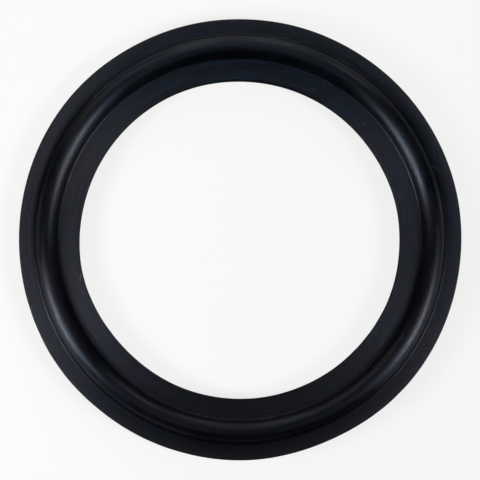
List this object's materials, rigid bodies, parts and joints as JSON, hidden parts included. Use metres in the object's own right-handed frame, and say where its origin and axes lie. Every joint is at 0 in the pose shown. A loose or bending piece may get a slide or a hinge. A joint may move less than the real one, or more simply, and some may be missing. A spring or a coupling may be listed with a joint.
{
  "type": "sanitary clamp gasket",
  "caption": "Black moulded rubber ring gasket with a flat web and a half-round sealing bead on each face, sealing a clamped pair of hygienic pipe ferrules.",
  "frame": {"origin": "centre of the bore, on the mid-plane of the web", "axes": "+Z along the bore axis; both faces are alike, and the ring lies level on its lower bead"},
  "size_m": [0.064, 0.064, 0.0054],
  "materials": {
    "rubber": "smooth moulded black rubber, low sheen"
  },
  "bodies": {
    "root": {"gasket": "rubber"}
  },
  "joints": []
}
